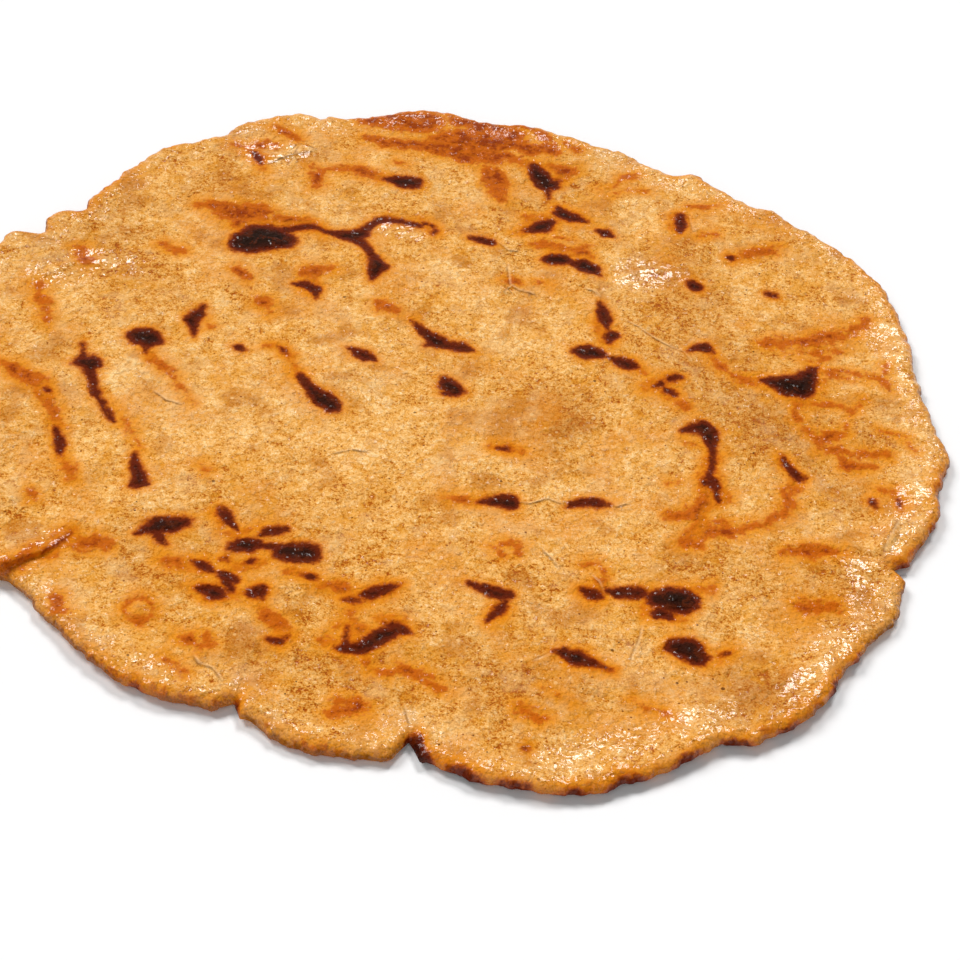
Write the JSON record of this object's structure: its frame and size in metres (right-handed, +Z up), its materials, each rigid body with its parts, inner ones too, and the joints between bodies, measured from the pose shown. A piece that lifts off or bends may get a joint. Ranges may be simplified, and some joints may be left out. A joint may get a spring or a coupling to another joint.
{
  "type": "flatbread",
  "caption": "Thin round pan-toasted wheat flatbread with an uneven rim, small edge splits, creases and dark toasted spots.",
  "frame": {"origin": "centre of the flat underside, below the middle of the outline's box", "axes": "+Z up, out of the toasted top; +X to the right and +Y to the far side as the picture shows the bread"},
  "size_m": [0.2118, 0.1978, 0.0051],
  "materials": {
    "toasted_dough": "uneven toasted wheat dough, slightly oily, with dark brown spots"
  },
  "bodies": {
    "root": {"flatbread": "toasted_dough"}
  },
  "joints": []
}
